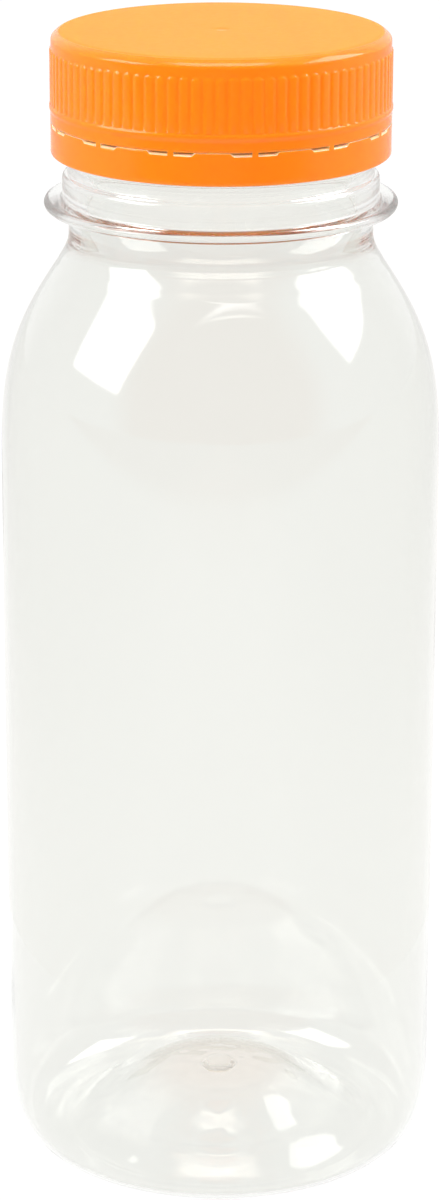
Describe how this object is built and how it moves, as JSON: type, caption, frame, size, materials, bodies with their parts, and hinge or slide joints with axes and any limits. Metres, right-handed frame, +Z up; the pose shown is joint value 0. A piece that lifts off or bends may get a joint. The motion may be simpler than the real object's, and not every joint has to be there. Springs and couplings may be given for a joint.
{
  "type": "plastic bottle",
  "caption": "Small clear plastic drinks bottle with a domed shoulder, a support ring on its short wide neck and a ribbed orange screw cap.",
  "frame": {"origin": "middle of the base, on the surface that the bottle stands on", "axes": "+Z up along the bottle's axis, -Y towards the front that the picture shows"},
  "size_m": [0.0538, 0.0538, 0.1424],
  "materials": {
    "clear_pet": "gloss",
    "orange_plastic": "satin"
  },
  "bodies": {
    "root": {"bottle": "clear_pet", "cap": "orange_plastic"}
  },
  "joints": []
}
